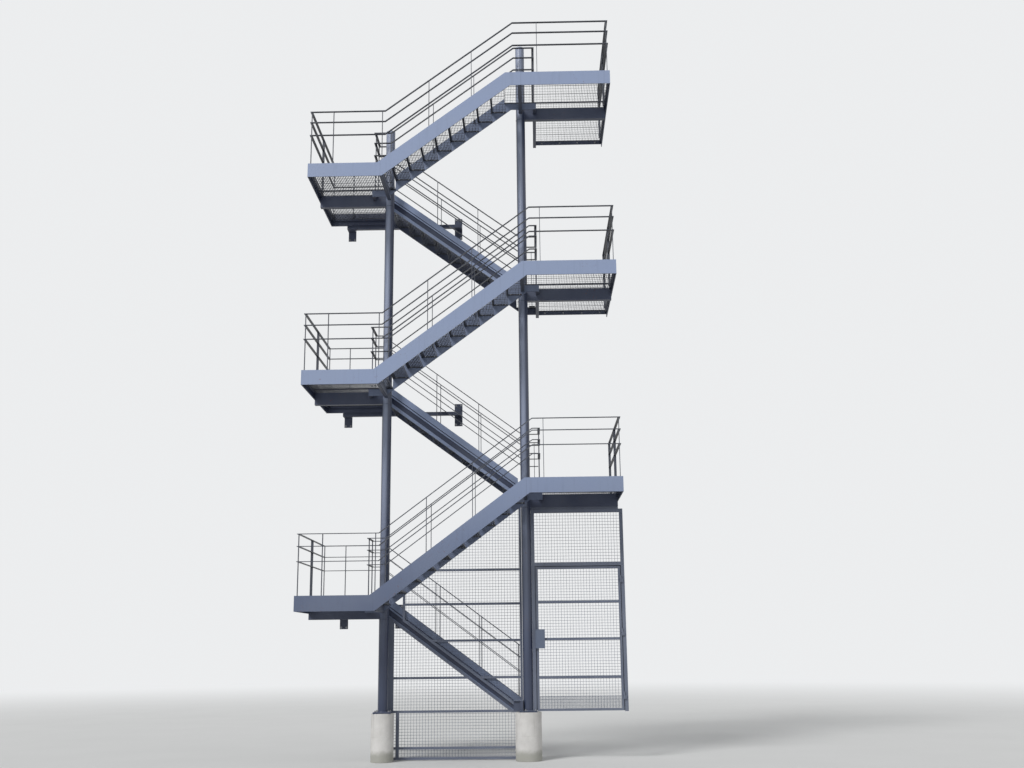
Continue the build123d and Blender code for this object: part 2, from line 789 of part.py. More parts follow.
# Screens in front of the lowest flight's well stringer
foot_line = rear_line(foot_level, half_decks[0], flight_risers)
front_line = run_line(half_decks[0], decks[0], flight_risers)
screen_y = (well - screen_depth, well)
screen_mid = well - screen_depth / 2


# Height of a line parallel to the lowest rear flight, or to the front flight above
def rear_height(x, offset):
    start_x, start_z = foot_line[1]
    return start_z + (column_spacing - x - start_x) * slope + offset / math.cos(pitch)


def front_height(x, offset):
    start_x, start_z = front_line[1]
    return start_z + (x - start_x) * slope + offset / math.cos(pitch)


def screen(outer, inner, rails, z0, z1):
    region = profile(outer, *screen_y)
    hole = profile(inner, *screen_y)
    side = screen_bar / 2
    bars = [block(screen_left, screen_right, *screen_y, z - side, z + side) for z in rails]
    bars += mesh(screen_left, screen_right, screen_mid, z0, z1)
    return (region - hole) + (joined(bars) & region)


def upper_outline(inset):
    left = screen_apex + inset
    right = screen_right - inset
    low = band_depth / 2 - screen_over + inset
    high = -band_depth / 2 + screen_rise - inset
    base = foot_top + inset
    rise = (base - rear_height(0, low)) / -slope
    return [
        (left, rear_height(left, low)),
        (rise, base),
        (right, base),
        (right, front_height(right, high)),
        (left, front_height(left, high)),
    ]


def lower_outline(inset):
    left = screen_left + inset
    right = screen_right - inset
    high = -band_depth / 2 + screen_bar - inset
    cap = plate_top - inset
    turn = (cap - rear_height(0, high)) / -slope
    base = screen_foot + inset
    return [
        (left, base),
        (right, base),
        (right, cap),
        (turn, cap),
        (left, rear_height(left, high)),
    ]


upper = screen(upper_outline(0), upper_outline(screen_bar), upper_rails, foot_top, decks[0])
post_top = decks[0] - deck_depth
upper += block(screen_right - screen_bar, screen_right, *screen_y, foot_top, post_top)
nodes["upper_screen"] = [upper]
lower = screen(lower_outline(0), lower_outline(screen_bar), lower_rails, screen_foot, half_decks[0])
edge = block(screen_left, screen_left + screen_edge, *screen_y, screen_foot, half_decks[0])
lower += edge & profile(lower_outline(0), *screen_y)
post_x = (screen_post, screen_post + screen_post_width)
lower += block(*post_x, *screen_y, screen_foot, lower_rails[1])
nodes["lower_screen"] = [lower]

for name, solids in nodes.items():
    shape = solids[0] if len(solids) == 1 else Compound(children=list(solids))
    export_step(shape, f"parts/{name}.step")
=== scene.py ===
import math

import bpy
from mathutils import Matrix, Vector


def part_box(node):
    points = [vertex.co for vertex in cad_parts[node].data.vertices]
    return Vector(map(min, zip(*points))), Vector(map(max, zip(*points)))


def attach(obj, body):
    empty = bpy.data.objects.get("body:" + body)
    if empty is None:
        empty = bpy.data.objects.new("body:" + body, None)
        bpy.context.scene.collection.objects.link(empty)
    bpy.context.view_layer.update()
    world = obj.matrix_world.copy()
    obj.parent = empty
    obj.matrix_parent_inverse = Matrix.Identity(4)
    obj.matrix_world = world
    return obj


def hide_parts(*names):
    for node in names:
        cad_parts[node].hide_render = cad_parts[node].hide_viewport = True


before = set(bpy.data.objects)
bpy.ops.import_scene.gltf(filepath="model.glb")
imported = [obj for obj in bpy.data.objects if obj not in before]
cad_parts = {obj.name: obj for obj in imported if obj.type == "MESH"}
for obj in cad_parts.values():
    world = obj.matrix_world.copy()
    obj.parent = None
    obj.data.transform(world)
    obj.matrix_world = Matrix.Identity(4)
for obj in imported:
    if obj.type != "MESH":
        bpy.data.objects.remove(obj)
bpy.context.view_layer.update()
print("frame loaded")

# Sizes of the stair, in metres, that its details follow
stair = {
    "riser": 0.19, "going": 0.256, "risers": (10, 10, 9), "rearRisers": 10, "foot": 0.715, "kink": 0.04,
    "nosing": 0.135, "lap": 0.025, "half": 1.23, "well": 0.25, "wall": 1.45, "plate": 0.015,
    "toe": 0.025, "web": 0.008, "band": 0.255, "upstand": 0.105, "splice": 0.025,
    "columns": 2.48, "plinth": 0.79, "basePlate": 0.025, "leftEnd": -1.32, "rightEnd": 4.12,
    "deck": 0.03, "wellEnd": 0.24, "seat": 0.02, "play": 0.0003,
}
slope = stair["riser"] / stair["going"]
pitch = math.atan(slope)
storeys = range(len(stair["risers"]))
flightRise = stair["rearRisers"] * stair["riser"]
halfDecks = [stair["foot"] + flightRise * (2 * level + 1) for level in storeys]
decks = [low + risers * stair["riser"] for low, risers in zip(halfDecks, stair["risers"])]
feet = [stair["foot"]] + decks[:-1]
innerFace = stair["half"] - stair["plate"]
webBack = stair["well"] + stair["toe"] + stair["web"]
wallWeb = stair["half"] - stair["toe"] - stair["web"]
columnX = (0.0, stair["columns"])
plateTop = stair["plinth"] + stair["basePlate"]

# Camera at the photograph's viewing angle
cameraSet = {
    "place": (2.6145, -19.9742, 1.876), "lens": 39.81, "yaw": 0.0176, "pitch": 0.2277, "roll": -0.0111,
    "sees": 400,
}


def makeCamera():
    bpy.ops.object.camera_add(location=cameraSet["place"])
    camera = bpy.context.object
    turn = Matrix.Rotation(cameraSet["yaw"], 4, "Z")
    turn @= Matrix.Rotation(math.pi / 2 + cameraSet["pitch"], 4, "X")
    turn @= Matrix.Rotation(cameraSet["roll"], 4, "Z")
    camera.rotation_euler = turn.to_euler()
    camera.data.lens = cameraSet["lens"]
    camera.data.clip_end = cameraSet["sees"]
    bpy.context.scene.camera = camera


makeCamera()
print("camera made")


# One socket of a material, so that shader maths reads as plain sums
class Term:
    def __init__(self, paint, socket):
        self.paint = paint
        self.socket = socket

    def maths(self, operation, *others, clamp=False):
        settings = {"operation": operation, "use_clamp": clamp}
        return self.paint.node("ShaderNodeMath", settings, dict(enumerate((self, *others))))

    def __add__(self, other):
        return self.maths("ADD", other)

    def __radd__(self, other):
        return self.maths("ADD", other)

    def __sub__(self, other):
        return self.maths("SUBTRACT", other)

    def __rsub__(self, other):
        flipped = self.maths("MULTIPLY", -1.0)
        return flipped.maths("ADD", other)

    def __mul__(self, other):
        return self.maths("MULTIPLY", other)

    def __rmul__(self, other):
        return self.maths("MULTIPLY", other)

    def abs(self):
        return self.maths("ABSOLUTE")

    def clamped(self):
        return self.maths("ADD", 0.0, clamp=True)

    # 0 below low, 1 above high, smooth between
    def between(self, low, high):
        values = {"Value": self, "From Min": low, "From Max": high}
        return self.paint.node("ShaderNodeMapRange", {"interpolation_type": "SMOOTHSTEP"}, values)


# One material, with the nodes that feed its shader
class Paint:
    def __init__(self, name):
        self.material = bpy.data.materials.new(name)
        self.material.use_nodes = True
        self.tree = self.material.node_tree
        self.shader = self.tree.nodes["Principled BSDF"]
        self.place = self.node("ShaderNodeTexCoord", out="Object")
        self.facing = self.node("ShaderNodeNewGeometry", out="Normal")

    def node(self, kind, settings=None, values=None, out=0):
        made = self.tree.nodes.new(kind)
        for key, value in (settings or {}).items():
            setattr(made, key, value)
        for key, value in (values or {}).items():
            self.feed(made.inputs[key], value)
        return Term(self, made.outputs[out])

    def feed(self, socket, value):
        if isinstance(value, Term):
            self.tree.links.new(value.socket, socket)
        else:
            socket.default_value = value

    def axis(self, vector, name):
        return self.node("ShaderNodeSeparateXYZ", None, {0: vector}, name)

    def stretched(self, scale):
        return self.node("ShaderNodeMapping", None, {"Vector": self.place, "Scale": scale})

    def noise(self, scale, detail=3.0, rough=0.5, place=None):
        values = {"Vector": place or self.place, "Scale": scale, "Detail": detail, "Roughness": rough}
        return self.node("ShaderNodeTexNoise", None, values, "Fac")

    def cells(self, scale, out="Distance"):
        return self.node("ShaderNodeTexVoronoi", None, {"Vector": self.place, "Scale": scale}, out)

    def blend(self, share, first, second):
        values = {0: share, 6: first, 7: second}
        return self.node("ShaderNodeMix", {"data_type": "RGBA"}, values, 2)

    def bump(self, height, strength, distance):
        values = {"Height": height, "Strength": strength, "Distance": distance}
        self.feed(self.shader.inputs["Normal"], self.node("ShaderNodeBump", None, values, "Normal"))

    def finish(self, colour, rough, metal=None):
        self.feed(self.shader.inputs["Base Color"], colour)
        self.feed(self.shader.inputs["Roughness"], rough)
        if metal is not None:
            self.feed(self.shader.inputs["Metallic"], metal)
        return self.material


# Colours of the painted steel: a lit and a shaded copy of each paint, which the masks blend as painted
# light and painted shade
framePaint = {
    "name": "frame_paint_weathered_and_shaded",
    "lit": (0.252, 0.312, 0.468, 1), "shaded": (0.028, 0.039, 0.082, 1),
    "grime": (0.020, 0.024, 0.038, 1), "dust": (0.28, 0.31, 0.37, 1), "rust": (0.15, 0.055, 0.025, 1),
    "rough": 0.40, "streaks": 0.10,
}
# Darker tones of the frame paint for the beams under the landings: painted shade
beamTones = {
    "name": "shaded_beam_paint",
    "lit": (0.115, 0.142, 0.220, 1), "shaded": (0.029, 0.039, 0.078, 1),
    "heights": (4.0, 9.5), "highShare": 0.22, "upward": (0.3, 0.95), "topShare": 0.5,
}
# Lit and shaded tones of the columns, and where their painted highlight falls
columnPaint = {
    "lit": (0.285, 0.325, 0.44, 1), "shaded": (0.025, 0.036, 0.078, 1),
    "grime": (0.015, 0.018, 0.030, 1), "dust": (0.20, 0.23, 0.29, 1), "rust": (0.13, 0.05, 0.025, 1),
    "rough": 0.26, "streaks": 0.20, "highlight": (-0.26, -0.966), "highlightEdge": (0.70, 1.0),
    "heights": (0.5, 6.5), "highlightShare": 0.92, "above": (-0.1, 0.25), "aboveShare": 0.60,
    "upward": (0.3, 0.9), "topShare": 0.5,
}
railPaint = {
    "name": "black_rail_paint",
    "lit": (0.125, 0.145, 0.195, 1), "shaded": (0.030, 0.034, 0.047, 1),
    "grime": (0.012, 0.012, 0.016, 1), "dust": (0.16, 0.17, 0.20, 1), "rust": (0.12, 0.045, 0.02, 1),
    "rough": 0.36, "streaks": 0.30,
}
gatePaint = {
    "name": "worn_gate_paint",
    "lit": (0.170, 0.198, 0.265, 1), "shaded": (0.100, 0.117, 0.168, 1),
    "grime": (0.030, 0.032, 0.038, 1), "dust": (0.30, 0.32, 0.36, 1), "rust": (0.14, 0.055, 0.025, 1),
    "rough": 0.42, "streaks": 0.30,
}
lockTones = {
    "name": "pale_lock_paint", "lit": (0.18, 0.21, 0.29, 1), "shaded": (0.098, 0.124, 0.185, 1),
}
gratingPaint = {
    "name": "trodden_grating_steel",
    "lit": (0.105, 0.118, 0.155, 1), "shaded": (0.034, 0.040, 0.060, 1),
    "grime": (0.014, 0.016, 0.022, 1), "dust": (0.26, 0.27, 0.29, 1), "rust": (0.14, 0.06, 0.03, 1),
    "rough": 0.50, "streaks": 0.30,
}

# Patterns on all the painted steel, real wear and dirt along with painted light on faces that look up and
# painted shade on faces that look down: how fine each is, where it shows and how strongly
weatheringAndShade = {
    "broad": 0.8, "broadEdge": (0.32, 0.72), "broadShare": 0.16,
    "streak": (19, 19, 1.1), "streakEdge": (0.52, 0.78),
    "speckle": 46, "speckleEdge": (0.36, 0.70), "speckleRough": 0.16, "speckleLift": 0.5,
    "upward": (0.35, 0.95), "dustShare": 0.45, "dustRough": 0.18,
    "downward": (0.2, 0.95), "grimeAndShadeShare": 0.6,
    "chip": 38, "chipEdge": (0.66, 0.70), "patch": 2.3, "patchEdge": (0.52, 0.62), "chipRough": 0.3,
    "chipSink": 0.8, "skyward": (-0.25, 0.9), "skyShare": 0.8,
    "peel": 240, "peelLift": 0.5, "bump": 0.10, "bumpDeep": 0.002,
}


def paintedSteel(tones, lightMask=None):
    paint = Paint(tones["name"])
    up = paint.axis(paint.facing, "Z")
    broad = paint.noise(weatheringAndShade["broad"], 3).between(*weatheringAndShade["broadEdge"])
    streaks = paint.noise(1.0, 4, 0.6, paint.stretched(weatheringAndShade["streak"]))
    streaks = streaks.between(*weatheringAndShade["streakEdge"])
    speckle = paint.noise(weatheringAndShade["speckle"], 4, 0.65)
    # Unless a mask is given, faces that look up take the lit colour and the rest the shaded one, as painted
    # light and painted shade, mixed with a random tone
    if lightMask is None:
        sky = weatheringAndShade["skyShare"]
        litShare = up.between(*weatheringAndShade["skyward"]) * sky + broad * (1 - sky)
    else:
        litShare = lightMask(paint, up)
    colour = paint.blend(litShare, tones["shaded"], tones["lit"])
    colour = paint.blend(broad * weatheringAndShade["broadShare"], colour, tones["dust"])
    colour = paint.blend(streaks * tones["streaks"], colour, tones["grime"])
    # Faces that look down are darkened towards the grime colour: painted shade
    below = (0.0 - up).between(*weatheringAndShade["downward"])
    colour = paint.blend(below * weatheringAndShade["grimeAndShadeShare"], colour, tones["grime"])
    dust = up.between(*weatheringAndShade["upward"]) * speckle.between(*weatheringAndShade["speckleEdge"])
    colour = paint.blend(dust * weatheringAndShade["dustShare"], colour, tones["dust"])
    patches = paint.noise(weatheringAndShade["patch"], 2).between(*weatheringAndShade["patchEdge"])
    chips = paint.noise(weatheringAndShade["chip"], 3, 0.6).between(*weatheringAndShade["chipEdge"]) * patches
    colour = paint.blend(chips, colour, tones["rust"])
    rough = tones["rough"] + speckle * weatheringAndShade["speckleRough"] + dust * weatheringAndShade["dustRough"]
    rough = rough + chips * weatheringAndShade["chipRough"]
    peel = paint.noise(weatheringAndShade["peel"], 2)
    relief = peel * weatheringAndShade["peelLift"] + speckle * weatheringAndShade["speckleLift"]
    relief = relief - chips * weatheringAndShade["chipSink"]
    paint.bump(relief, weatheringAndShade["bump"], weatheringAndShade["bumpDeep"])
    return paint.finish(colour, rough.clamped())


# Faces of the frame painted lit, while the rest keep the painted shade: where they lie across the stair,
# their half widths and how lit they are, rising from a low tone with the height
litFaces = {
    "front": -1.222, "rear": 0.2575, "rearHalf": 0.0085, "rearShare": 1.15,
    "well": -0.265, "wellHalf": 0.003, "wellShare": 0.55, "endShare": 0.8,
    "facing": (0.4, 0.9), "reach": 0.0015, "soft": 0.001, "seam": (0.001, 0.003), "seamTone": 0.5,
    "frontHeights": (1.7, 5.8), "frontLow": 0.20, "frontMore": 0.78,
    "rearHeights": (2.0, 8.0), "rearLow": 0.58, "rearMore": 0.40, "upward": (0.5, 0.95), "topShare": 0.5,
}


# The front faces are painted lit, lighter towards the top, with a dark seam at each splice, and so are
# the toes and cover strips of the rear stringers and the stair's outer end faces; the recessed webs and all
# other faces keep the painted shade, and faces that look up are painted lighter
def frontLight(paint, up):
    run, depth, height = (paint.axis(paint.place, name) for name in "XYZ")
    side, back = (paint.axis(paint.facing, name) for name in "XY")
    facing, reach, soft = litFaces["facing"], litFaces["reach"], litFaces["soft"]
    ahead = (0.0 - back).between(*facing)
    front = (litFaces["front"] - depth).between(0.0, 2 * soft) * ahead
    toes = (litFaces["rearHalf"] - (depth - litFaces["rear"]).abs()).between(0.0, soft)
    strips = (litFaces["wellHalf"] - (depth - litFaces["well"]).abs()).between(0.0, soft)
    rear = (toes * litFaces["rearShare"] + strips * litFaces["wellShare"]) * ahead
    leftEnd = (stair["leftEnd"] + reach - run).between(0.0, soft) * (0.0 - side).between(*facing)
    rightEnd = (run + reach - stair["rightEnd"]).between(0.0, soft) * side.between(*facing)
    backEnd = (depth + reach - stair["half"]).between(0.0, soft) * back.between(*facing)
    ends = (leftEnd + rightEnd + backEnd) * litFaces["endShare"]
    leftSeam = (run + stair["splice"]).abs().between(*litFaces["seam"])
    rightSeam = (run - stair["columns"] - stair["splice"]).abs().between(*litFaces["seam"])
    seams = leftSeam * rightSeam * (1 - litFaces["seamTone"]) + litFaces["seamTone"]
    frontTone = height.between(*litFaces["frontHeights"]) * litFaces["frontMore"] + litFaces["frontLow"]
    rearTone = height.between(*litFaces["rearHeights"]) * litFaces["rearMore"] + litFaces["rearLow"]
    top = up.between(*litFaces["upward"]) * (1 - front) * litFaces["topShare"]
    return (front * seams * frontTone + (rear + ends) * rearTone + top).clamped()


# The beams under the landings take a darker copy of the frame paint as painted shade, and are painted
# lighter towards the top and on faces that look up
def beamLight(paint, up):
    high = paint.axis(paint.place, "Z").between(*beamTones["heights"])
    top = up.between(*beamTones["upward"])
    return (high * beamTones["highShare"] + top * beamTones["topShare"]).clamped()


# The columns carry a painted highlight, a lighter stripe on their front left side that grows with the
# height, and are painted lighter above the top decks, where no deck shades them, and on faces that look up
def columnLight(topHeight):
    def mask(paint, up):
        height = paint.axis(paint.place, "Z")
        side, back = (paint.axis(paint.facing, name) for name in "XY")
        highlightX, highlightY = columnPaint["highlight"]
        highlight = (side * highlightX + back * highlightY).between(*columnPaint["highlightEdge"])
        highlight = highlight * height.between(*columnPaint["heights"])
        above = height.between(*(topHeight + rise for rise in columnPaint["above"]))
        top = up.between(*columnPaint["upward"])
        share = highlight * columnPaint["highlightShare"] + above * columnPaint["aboveShare"]
        return (share + top * columnPaint["topShare"]).clamped()
    return mask


# Pale cast concrete with runs, damp at the foot, open pores, a grimy top and a seam
concrete = {
    "pale": (0.68, 0.665, 0.645, 1), "dull": (0.58, 0.565, 0.545, 1),
    "blotch": 4.5, "blotchEdge": (0.3, 0.7), "blotchLift": 0.5,
    "grain": 120, "grainLift": 0.25, "grainRough": 0.12,
    "run": (0.23, 0.22, 0.20, 1), "runs": (26, 26, 1.5), "runEdge": (0.50, 0.78), "runShare": 0.5,
    "runHeights": (0.25, 0.79),
    "damp": (0.20, 0.205, 0.16, 1), "dampTop": 0.16, "dampSoft": 0.12, "dampShare": 0.6,
    "pore": (0.18, 0.17, 0.15, 1), "pores": 60, "poreEdge": (0.04, 0.12), "poreShare": 0.45,
    "poreLift": 0.5,
    "grime": (0.22, 0.23, 0.18, 1), "upward": (0.6, 0.95), "grimeAndShadeShare": 0.55,
    "seam": 0.41, "seamSoft": 0.004, "seamLift": 0.6, "bump": 0.5, "bumpDeep": 0.004, "rough": 0.80,
}


def castConcrete():
    paint = Paint("cast_concrete")
    height = paint.axis(paint.place, "Z")
    up = paint.axis(paint.facing, "Z")
    blotches = paint.noise(concrete["blotch"], 4, 0.6)
    grains = paint.noise(concrete["grain"], 3, 0.7)
    pores = paint.cells(concrete["pores"]).between(*concrete["poreEdge"])
    runs = paint.noise(1.0, 4, 0.6, paint.stretched(concrete["runs"])).between(*concrete["runEdge"])
    runs = runs * height.between(*concrete["runHeights"])
    damp = concrete["dampTop"] - height + blotches * concrete["dampSoft"]
    damp = damp.between(0.0, concrete["dampSoft"])
    grime = up.between(*concrete["upward"]) * blotches
    colour = paint.blend(blotches.between(*concrete["blotchEdge"]), concrete["pale"], concrete["dull"])
    colour = paint.blend(runs * concrete["runShare"], colour, concrete["run"])
    colour = paint.blend(damp * concrete["dampShare"], colour, concrete["damp"])
    colour = paint.blend((1 - pores) * concrete["poreShare"], colour, concrete["pore"])
    colour = paint.blend(grime * concrete["grimeAndShadeShare"], colour, concrete["grime"])
    seam = (height - concrete["seam"]).abs().between(0.0, concrete["seamSoft"])
    relief = grains * concrete["grainLift"] + pores * concrete["poreLift"]
    relief = relief + blotches * concrete["blotchLift"] + seam * concrete["seamLift"]
    paint.bump(relief, concrete["bump"], concrete["bumpDeep"])
    return paint.finish(colour, grains * concrete["grainRough"] + concrete["rough"])


# Zinc of the bolts, with its crystals and brown stains where it is worn
zinc = {
    "dark": (0.23, 0.24, 0.26, 1), "light": (0.36, 0.37, 0.39, 1), "stain": (0.10, 0.085, 0.07, 1),
    "crystals": 90, "wear": 30, "wearEdge": (0.5, 0.7), "stainShare": 0.5, "dullShare": 0.6,
    "rough": 0.38, "wearRough": 0.25, "bump": 0.12, "bumpDeep": 0.001,
}


def zincSteel():
    paint = Paint("dull_zinc_steel")
    tone = paint.axis(paint.cells(zinc["crystals"], "Color"), "X")
    wear = paint.noise(zinc["wear"], 4, 0.6)
    worn = wear.between(*zinc["wearEdge"])
    colour = paint.blend(tone, zinc["dark"], zinc["light"])
    colour = paint.blend(worn * zinc["stainShare"], colour, zinc["stain"])
    paint.bump(wear, zinc["bump"], zinc["bumpDeep"])
    rough = wear * zinc["wearRough"] + zinc["rough"]
    return paint.finish(colour, rough, 1 - worn * zinc["dullShare"])


paints = {
    "frame": paintedSteel(framePaint, frontLight),
    "leftColumn": paintedSteel({**columnPaint, "name": "left_column_paint"}, columnLight(halfDecks[-1])),
    "rightColumn": paintedSteel({**columnPaint, "name": "right_column_paint"}, columnLight(decks[-1])),
    "beam": paintedSteel({**framePaint, **beamTones}, beamLight),
    "rail": paintedSteel(railPaint),
    "gate": paintedSteel(gatePaint),
    "lock": paintedSteel({**gatePaint, **lockTones}),
    "grating": paintedSteel(gratingPaint),
    "concrete": castConcrete(),
    "zinc": zincSteel(),
}
print("materials made")


def nodePaint(name):
    if name.endswith("plinth"):
        return "concrete"
    if name.endswith(("treads", "decks")):
        return "grating"
    if "guards" in name:
        return "rail"
    if name.startswith("gate") or name.endswith("screen"):
        return "gate"
    if name == "left_column":
        return "leftColumn"
    if name in ("right_column", "column_base_plates"):
        return "rightColumn"
    if name in ("spine_beams", "cross_arms", "wall_beams", "wall_brackets", "foot_beam"):
        return "beam"
    return "frame"


for nodeName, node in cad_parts.items():
    node.data.materials.clear()
    node.data.materials.append(paints[nodePaint(nodeName)])


# Modelling by hand: nothing else is selected, and a piece's place is in its mesh
def clearSelection():
    bpy.ops.object.select_all(action="DESELECT")


def settle(piece):
    clearSelection()
    piece.select_set(True)
    bpy.context.view_layer.objects.active = piece
    bpy.ops.object.transform_apply(location=True, rotation=True, scale=True)
    return piece


def addBlock(low, high):
    clearSelection()
    low, high = Vector(low), Vector(high)
    bpy.ops.mesh.primitive_cube_add(size=1, location=(low + high) / 2)
    bpy.context.object.scale = high - low
    return settle(bpy.context.object)


def addRod(start, end, radius, sides):
    clearSelection()
    start, end = Vector(start), Vector(end)
    bpy.ops.mesh.primitive_cylinder_add(
        vertices=sides, radius=radius, depth=(end - start).length, location=(start + end) / 2,
        rotation=(end - start).to_track_quat("Z", "Y").to_euler(),
    )
    return settle(bpy.context.object)


# Tests for the faces that look one way, to within about 25 degrees
def looking(*way):
    return lambda face: face.normal.dot(Vector(way)) > 0.9


upward, downward, forward = looking(0, 0, 1), looking(0, 0, -1), looking(0, -1, 0)


def selectFaces(piece, wanted):
    clearSelection()
    piece.select_set(True)
    bpy.context.view_layer.objects.active = piece
    bpy.ops.object.mode_set(mode="EDIT")
    bpy.ops.mesh.select_mode(type="FACE")
    bpy.ops.mesh.select_all(action="DESELECT")
    bpy.ops.object.mode_set(mode="OBJECT")
    for face in piece.data.polygons:
        face.select = wanted(face)
    bpy.ops.object.mode_set(mode="EDIT")


def doneEditing():
    bpy.ops.object.mode_set(mode="OBJECT")


def insetFaces(piece, wanted, thickness, depth):
    selectFaces(piece, wanted)
    bpy.ops.mesh.inset(thickness=thickness, depth=depth)
    doneEditing()


def taperFaces(piece, wanted, scale):
    selectFaces(piece, wanted)
    bpy.ops.transform.resize(value=scale)
    doneEditing()


def bisected(piece, place, arrow, **settings):
    selectFaces(piece, lambda face: True)
    bpy.ops.mesh.bisect(plane_co=place, plane_no=arrow, **settings)
    doneEditing()


# Cuts away what lies on the side that the arrow points to
def trimmed(piece, place, arrow):
    bisected(piece, place, arrow, use_fill=True, clear_outer=True)


def applied(piece, kind, **settings):
    modifier = piece.modifiers.new(kind.lower(), kind)
    for key, value in settings.items():
        setattr(modifier, key, value)
    bpy.context.view_layer.objects.active = piece
    bpy.ops.object.modifier_apply(modifier=modifier.name)
    return piece


def repeated(piece, count, step):
    return applied(
        piece, "ARRAY", count=count, use_relative_offset=False, use_constant_offset=True,
        constant_offset_displace=step,
    )


def bevelled(piece, width, segments=1, angle=30):
    return applied(
        piece, "BEVEL", width=width, segments=segments, limit_method="ANGLE",
        angle_limit=math.radians(angle),
    )


def placed(master, matrix):
    copy = master.copy()
    copy.data = master.data.copy()
    copy.data.transform(matrix)
    bpy.context.scene.collection.objects.link(copy)
    return copy


def turned(place, axis):
    return Matrix.Translation(place) @ Vector(axis).to_track_quat("Z", "Y").to_matrix().to_4x4()


def joined(name, pieces):
    clearSelection()
    for piece in pieces:
        piece.select_set(True)
    bpy.context.view_layer.objects.active = pieces[0]
    if len(pieces) > 1:
        bpy.ops.object.join()
    whole = bpy.context.view_layer.objects.active
    whole.name = name
    whole.data.name = name
    return whole


def handIn(name, pieces, paint, body="stair"):
    piece = joined(name, pieces)
    piece.data.materials.clear()
    piece.data.materials.append(paints[paint])
    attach(piece, body)
    return piece


def discard(*pieces):
    for piece in pieces:
        bpy.data.objects.remove(piece)


# Fine bars of the deck gratings, between the bars that the frame has
gratingBars = {
    "wide": 0.12, "far": 0.30, "least": 2, "thick": 0.005, "fine": 0.003, "barDrop": 0.0005, "split": 4,
    "rod": 0.0024, "rodSides": 4, "rodDrop": 0.006, "between": 2,
}


def deckInfill(x0, x1, y0, y1, top):
    thick = gratingBars["thick"]
    columns = max(gratingBars["least"], round((x1 - x0) / gratingBars["wide"]))
    rows = max(gratingBars["least"], round((y1 - y0) / gratingBars["far"]))
    step = (x1 - x0 - thick) / columns
    fineStep = step / gratingBars["split"]
    start = x0 + thick / 2 + fineStep
    side = gratingBars["fine"] / 2
    barTop = top - gratingBars["barDrop"]
    bar = addBlock((start - side, y0, top - stair["deck"]), (start + side, y1, barTop))
    repeated(bar, gratingBars["split"] - 1, (fineStep, 0, 0))
    repeated(bar, columns, (step, 0, 0))
    stride = (y1 - y0 - thick) / rows
    gap = stride / (gratingBars["between"] + 1)
    near = y0 + thick / 2 + gap
    height = top - gratingBars["rodDrop"]
    rod = addRod((x0, near, height), (x1, near, height), gratingBars["rod"], gratingBars["rodSides"])
    repeated(rod, gratingBars["between"], (0, gap, 0))
    repeated(rod, rows, (0, stride, 0))
    return [bar, rod]


def makeDeckBars():
    endLeft = stair["leftEnd"] + stair["plate"]
    endRight = stair["rightEnd"] - stair["plate"]
    rearFoot = stair["columns"] - stair["nosing"]
    rearNosing = rearFoot - (stair["rearRisers"] - 1) * stair["going"]
    trim = stair["columns"] + stair["wellEnd"]
    frontBay = (-innerFace, -stair["well"])
    wellBay = (stair["play"] - stair["well"], stair["well"] - stair["play"])
    halfParts, landingParts = [], []
    for level in storeys:
        top = halfDecks[level]
        halfParts += deckInfill(endLeft, stair["nosing"], *frontBay, top)
        halfParts += deckInfill(endLeft, -stair["wellEnd"] - stair["seat"], *wellBay, top)
        halfParts += deckInfill(endLeft, rearNosing, stair["well"], wallWeb, top)
        top = decks[level]
        nosing = stair["nosing"] + (stair["risers"][level] - 1) * stair["going"]
        landingParts += deckInfill(nosing, endRight, *frontBay, top)
        landingParts += deckInfill(trim + stair["seat"], endRight, *wellBay, top)
        landingParts += deckInfill(trim + stair["seat"], endRight, stair["well"], stair["wall"], top)
        if level < storeys[-1]:
            rearBay = (stair["well"] + stair["toe"], stair["half"] - stair["toe"])
            landingParts += deckInfill(rearFoot, trim, *rearBay, top)
    handIn("half_landing_fine_bars", halfParts, "grating")
    handIn("landing_fine_bars", landingParts, "grating")


makeDeckBars()
print("deck gratings made")

# Fine bars, rods and a ribbed nosing strip for each tread
treadParts = {
    "bars": 5, "barBack": 0.002, "rods": 9, "rod": 0.0021, "rodStart": 0.006, "bolts": (0.069, 0.238),
    "nosing": 0.012, "nosingLap": 0.001, "strip": 0.038, "stripDeep": 0.034, "stripTop": 0.0004,
    "stripEnd": 0.006, "stripTaper": (0.85, 0.998, 1),
    "rib": 0.020, "ribTall": 0.0022, "ribSunk": 0.001, "ribFront": 0.0008, "ribBack": 0.036,
    "ribStart": 0.012, "ribWide": 0.010, "ribTaper": (0.75, 0.35, 1),
}


